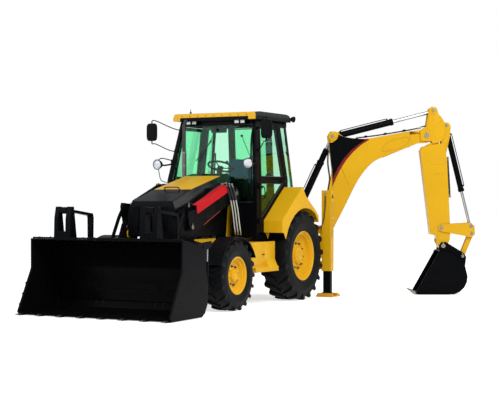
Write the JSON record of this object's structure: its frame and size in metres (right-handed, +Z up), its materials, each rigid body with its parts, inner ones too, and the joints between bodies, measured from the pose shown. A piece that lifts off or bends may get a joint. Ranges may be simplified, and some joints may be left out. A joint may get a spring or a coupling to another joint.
{
  "type": "backhoe loader",
  "caption": "Backhoe loader with a front clam bucket and flip-over forks, an enclosed cab, and a sideshift hoe with an extending stick.",
  "frame": {"origin": "middle of the whole machine's box, on the ground, with the hoe swung to the left rear as at rest", "axes": "+X forward, +Y to the machine's left, +Z up"},
  "size_m": [7.0067, 4.2195, 3.065],
  "materials": {
    "yellow_paint": "gloss paint",
    "black_paint": "satin paint",
    "rod_chrome": "polished",
    "tyre_rubber": "matt rubber",
    "cab_glass": "green tint",
    "red_paint": "gloss paint",
    "engine_grey": "dark cast iron",
    "dark_plastic": "satin plastic",
    "seat_cloth": "woven cloth"
  },
  "bodies": {
    "chassis": {"main_frame": "yellow_paint", "rear_frame": "yellow_paint", "axles": "yellow_paint", "engine": "engine_grey", "exhaust": "engine_grey", "cab_shell": "black_paint", "cab_roof": "yellow_paint", "cab_glass": "cab_glass", "rear_fenders": "yellow_paint", "side_boxes": "yellow_paint", "seat": "seat_cloth", "cab_controls": "dark_plastic", "lamps": "dark_plastic", "mirrors": "dark_plastic"},
    "hood": {"hood": "black_paint"},
    "door_left": {"door_left": "black_paint", "door_glass_left": "cab_glass"},
    "door_right": {"door_right": "black_paint", "door_glass_right": "cab_glass"},
    "knuckle_left": {"knuckle_left": "black_paint"},
    "knuckle_right": {"knuckle_right": "black_paint"},
    "wheel_front_left": {"rim_front_left": "yellow_paint", "tyre_front_left": "tyre_rubber"},
    "wheel_front_right": {"rim_front_right": "yellow_paint", "tyre_front_right": "tyre_rubber"},
    "wheel_rear_left": {"rim_rear_left": "yellow_paint", "tyre_rear_left": "tyre_rubber"},
    "wheel_rear_right": {"rim_rear_right": "yellow_paint", "tyre_rear_right": "tyre_rubber"},
    "lift_arms": {"lift_arms": "black_paint"},
    "lift_barrels": {"lift_barrels": "black_paint"},
    "lift_rods": {"lift_rods": "rod_chrome"},
    "tilt_barrels": {"tilt_barrels": "black_paint", "safety_brace": "red_paint"},
    "tilt_rods": {"tilt_rods": "rod_chrome"},
    "tilt_levers": {"tilt_levers": "black_paint"},
    "tilt_links": {"tilt_links": "black_paint"},
    "bucket_back": {"bucket_back": "black_paint"},
    "bucket_clam": {"bucket_clam": "black_paint"},
    "clam_barrels": {"clam_barrels": "black_paint"},
    "clam_rods": {"clam_rods": "rod_chrome"},
    "fork_left": {"fork_left": "black_paint"},
    "fork_right": {"fork_right": "black_paint"},
    "stabilizer_left": {"stabilizer_left": "yellow_paint"},
    "stabilizer_right": {"stabilizer_right": "yellow_paint"},
    "shift_carriage": {"shift_carriage": "yellow_paint"},
    "swing_post": {"swing_post": "yellow_paint"},
    "boom": {"boom": "yellow_paint"},
    "boom_barrel": {"boom_barrel": "black_paint"},
    "boom_rod": {"boom_rod": "rod_chrome"},
    "stick_barrel": {"stick_barrel": "black_paint"},
    "stick_rod": {"stick_rod": "rod_chrome"},
    "stick_head": {"stick_head": "yellow_paint"},
    "stick_outer": {"stick_outer": "yellow_paint"},
    "curl_barrel": {"curl_barrel": "black_paint"},
    "curl_rod": {"curl_rod": "rod_chrome"},
    "bucket_lever": {"bucket_lever": "yellow_paint"},
    "bucket_link": {"bucket_link": "yellow_paint"},
    "hoe_bucket": {"hoe_bucket": "black_paint"}
  },
  "joints": [
    {"name": "steer_left", "type": "hinge", "parent": "chassis", "child": "knuckle_left", "pos_m": [1.4634, -0.2397, 0.49], "axis": [0, 0, 1], "range_deg": [-30, 30]},
    {"name": "steer_right", "type": "hinge", "parent": "chassis", "child": "knuckle_right", "pos_m": [1.4634, -1.5197, 0.49], "axis": [0, 0, 1], "range_deg": [-30, 30]},
    {"name": "front_wheel_left", "type": "hinge", "parent": "knuckle_left", "child": "wheel_front_left", "pos_m": [1.4634, 0.0673, 0.49], "axis": [0, 1, 0], "continuous": true},
    {"name": "rear_wheel_left", "type": "hinge", "parent": "chassis", "child": "wheel_rear_left", "pos_m": [-0.7366, -0.0247, 0.68], "axis": [0, 1, 0], "continuous": true},
    {"name": "front_wheel_right", "type": "hinge", "parent": "knuckle_right", "child": "wheel_front_right", "pos_m": [1.4634, -1.8267, 0.49], "axis": [0, 1, 0], "continuous": true},
    {"name": "rear_wheel_right", "type": "hinge", "parent": "chassis", "child": "wheel_rear_right", "pos_m": [-0.7366, -1.7347, 0.68], "axis": [0, 1, 0], "continuous": true},
    {"name": "hood_tilt", "type": "hinge", "parent": "chassis", "child": "hood", "pos_m": [1.9034, -0.8797, 1], "axis": [0, 1, 0], "range_deg": [0, 45]},
    {"name": "door_left_hinge", "type": "hinge", "parent": "chassis", "child": "door_left", "pos_m": [0.2484, -0.0797, 1.4], "axis": [0, 0, -1], "range_deg": [0, 80]},
    {"name": "door_right_hinge", "type": "hinge", "parent": "chassis", "child": "door_right", "pos_m": [0.2484, -1.6797, 1.4], "axis": [0, 0, 1], "range_deg": [0, 80]},
    {"name": "loader_lift", "type": "hinge", "parent": "chassis", "child": "lift_arms", "pos_m": [0.4834, -0.8797, 1.64], "axis": [0, -1, 0], "range_deg": [0, 88]},
    {"name": "lift_barrel_turn", "type": "hinge", "parent": "chassis", "child": "lift_barrels", "pos_m": [0.4484, -0.8797, 0.735], "axis": [0, -1, 0], "range_deg": [-0.6, 61.93]},
    {"name": "lift_rod_slide", "type": "slide", "parent": "lift_barrels", "child": "lift_rods", "axis": [0.9863, 0, 0.165], "range_m": [-0.004, 1.01]},
    {"name": "loader_bucket_tilt", "type": "hinge", "parent": "lift_arms", "child": "bucket_back", "pos_m": [2.3434, -0.8797, 0.23], "axis": [0, 1, 0], "range_deg": [-40, 110]},
    {"name": "tilt_lever_turn", "type": "hinge", "parent": "lift_arms", "child": "tilt_levers", "pos_m": [1.7834, -0.8797, 1.16], "axis": [0, 1, 0], "range_deg": [-38.78, 105.59]},
    {"name": "tilt_link_turn", "type": "hinge", "parent": "tilt_levers", "child": "tilt_links", "pos_m": [1.8734, -0.8797, 1.457], "axis": [0, 1, 0], "range_deg": [-106.67, 39.17]},
    {"name": "tilt_barrel_turn", "type": "hinge", "parent": "lift_arms", "child": "tilt_barrels", "pos_m": [0.8434, -0.8797, 1.738], "axis": [0, -1, 0], "range_deg": [-0.98, 1.65]},
    {"name": "tilt_rod_slide", "type": "slide", "parent": "tilt_barrels", "child": "tilt_rods", "axis": [0.9437, 0, -0.3308], "range_m": [-0.14602, 0.39456]},
    {"name": "clam_open", "type": "hinge", "parent": "bucket_back", "child": "bucket_clam", "pos_m": [2.5934, -0.8797, 0.93], "axis": [0, -1, 0], "range_deg": [0, 60]},
    {"name": "clam_barrel_turn", "type": "hinge", "parent": "bucket_back", "child": "clam_barrels", "pos_m": [2.4334, -0.8797, 0.33], "axis": [0, -1, 0], "range_deg": [-5.78, 0.6]},
    {"name": "clam_rod_slide", "type": "slide", "parent": "clam_barrels", "child": "clam_rods", "axis": [-0.0476, 0, 0.9989], "range_m": [-0.18878, 0.004]},
    {"name": "fork_left_flip", "type": "hinge", "parent": "bucket_back", "child": "fork_left", "pos_m": [3.0534, -0.8797, 1.4], "axis": [0, -1, 0], "range_deg": [-250, 0]},
    {"name": "fork_right_flip", "type": "hinge", "parent": "bucket_back", "child": "fork_right", "pos_m": [3.0534, -0.8797, 1.4], "axis": [0, -1, 0], "range_deg": [-250, 0]},
    {"name": "stabilizer_left_slide", "type": "slide", "parent": "chassis", "child": "stabilizer_left", "axis": [0, 0, 1], "range_m": [0, 0.38]},
    {"name": "stabilizer_right_slide", "type": "slide", "parent": "chassis", "child": "stabilizer_right", "axis": [0, 0, 1], "range_m": [0, 0.38]},
    {"name": "sideshift", "type": "slide", "parent": "chassis", "child": "shift_carriage", "axis": [0, 1, 0], "range_m": [-1.039, 0.161]},
    {"name": "hoe_swing", "type": "hinge", "parent": "shift_carriage", "child": "swing_post", "pos_m": [-2.0366, -0.4407, 0.64], "axis": [0, 0, 1], "range_deg": [-27, 153]},
    {"name": "boom_lower", "type": "hinge", "parent": "swing_post", "child": "boom", "pos_m": [-2.14147, -0.23488, 0.646], "axis": [-0.891, -0.454, 0], "range_deg": [-12, 67]},
    {"name": "boom_barrel_turn", "type": "hinge", "parent": "swing_post", "child": "boom_barrel", "pos_m": [-1.93672, -0.63672, 1.085], "axis": [0.891, 0.454, 0], "range_deg": [-65.16, 12.16]},
    {"name": "boom_rod_slide", "type": "slide", "parent": "boom_barrel", "child": "boom_rod", "axis": [-0.1889, 0.3708, 0.9093], "range_m": [-0.12407, 0.67442]},
    {"name": "stick_out", "type": "hinge", "parent": "boom", "child": "stick_head", "pos_m": [-2.94549, 1.34309, 2.589], "axis": [0.891, 0.454, 0], "range_deg": [-25, 60]},
    {"name": "stick_barrel_turn", "type": "hinge", "parent": "boom", "child": "stick_barrel", "pos_m": [-2.24544, -0.03084, 2.571], "axis": [0.891, 0.454, 0], "range_deg": [-1.87, 3.64]},
    {"name": "stick_rod_slide", "type": "slide", "parent": "stick_barrel", "child": "stick_rod", "axis": [-0.44, 0.8636, 0.246], "range_m": [-0.3994, 0.16875]},
    {"name": "stick_extend", "type": "slide", "parent": "stick_head", "child": "stick_outer", "axis": [-0.0433, 0.085, -0.9954], "range_m": [0, 1.05]},
    {"name": "hoe_bucket_curl", "type": "hinge", "parent": "stick_outer", "child": "hoe_bucket", "pos_m": [-3.0658, 1.57921, 0.787], "axis": [-0.891, -0.454, 0], "range_deg": [-90, 60]},
    {"name": "curl_lever_turn", "type": "hinge", "parent": "stick_outer", "child": "bucket_lever", "pos_m": [-3.05172, 1.55159, 1.077], "axis": [0.891, 0.454, 0], "range_deg": [-44.05, 65.77]},
    {"name": "curl_link_turn", "type": "hinge", "parent": "bucket_lever", "child": "bucket_link", "pos_m": [-3.27554, 1.99086, 0.983], "axis": [0.891, 0.454, 0], "range_deg": [-51.53, 34.55]},
    {"name": "curl_barrel_turn", "type": "hinge", "parent": "stick_outer", "child": "curl_barrel", "pos_m": [-3.09031, 1.62733, 2.753], "axis": [0.891, 0.454, 0], "range_deg": [-0.86, 0.78]},
    {"name": "curl_rod_slide", "type": "slide", "parent": "curl_barrel", "child": "curl_rod", "axis": [-0.107, 0.21, -0.9718], "range_m": [-0.48484, 0.32456]}
  ],
  "couplings": [
    {"joint": "steer_right", "follows": "steer_left", "ratio": 1},
    {"joint": "lift_barrel_turn", "follows": "loader_lift", "ratio": 0.69696},
    {"joint": "lift_rod_slide", "follows": "loader_lift", "m_per_rad": 0.65499},
    {"joint": "tilt_lever_turn", "follows": "loader_bucket_tilt", "ratio": 0.95449},
    {"joint": "tilt_link_turn", "follows": "loader_bucket_tilt", "ratio": -0.96428},
    {"joint": "tilt_barrel_turn", "follows": "loader_bucket_tilt", "ratio": 0.009516},
    {"joint": "tilt_rod_slide", "follows": "loader_bucket_tilt", "m_per_rad": 0.20343},
    {"joint": "clam_barrel_turn", "follows": "clam_open", "ratio": -0.086326},
    {"joint": "clam_rod_slide", "follows": "clam_open", "m_per_rad": -0.17646},
    {"joint": "boom_barrel_turn", "follows": "boom_lower", "ratio": -0.96354},
    {"joint": "boom_rod_slide", "follows": "boom_lower", "m_per_rad": 0.57331},
    {"joint": "stick_barrel_turn", "follows": "stick_out", "ratio": 0.050639},
    {"joint": "stick_rod_slide", "follows": "stick_out", "m_per_rad": -0.37758},
    {"joint": "curl_lever_turn", "follows": "hoe_bucket_curl", "ratio": -0.7241},
    {"joint": "curl_link_turn", "follows": "hoe_bucket_curl", "ratio": 0.56585},
    {"joint": "curl_barrel_turn", "follows": "hoe_bucket_curl", "ratio": 0.002914},
    {"joint": "curl_rod_slide", "follows": "hoe_bucket_curl", "m_per_rad": 0.30611}
  ]
}
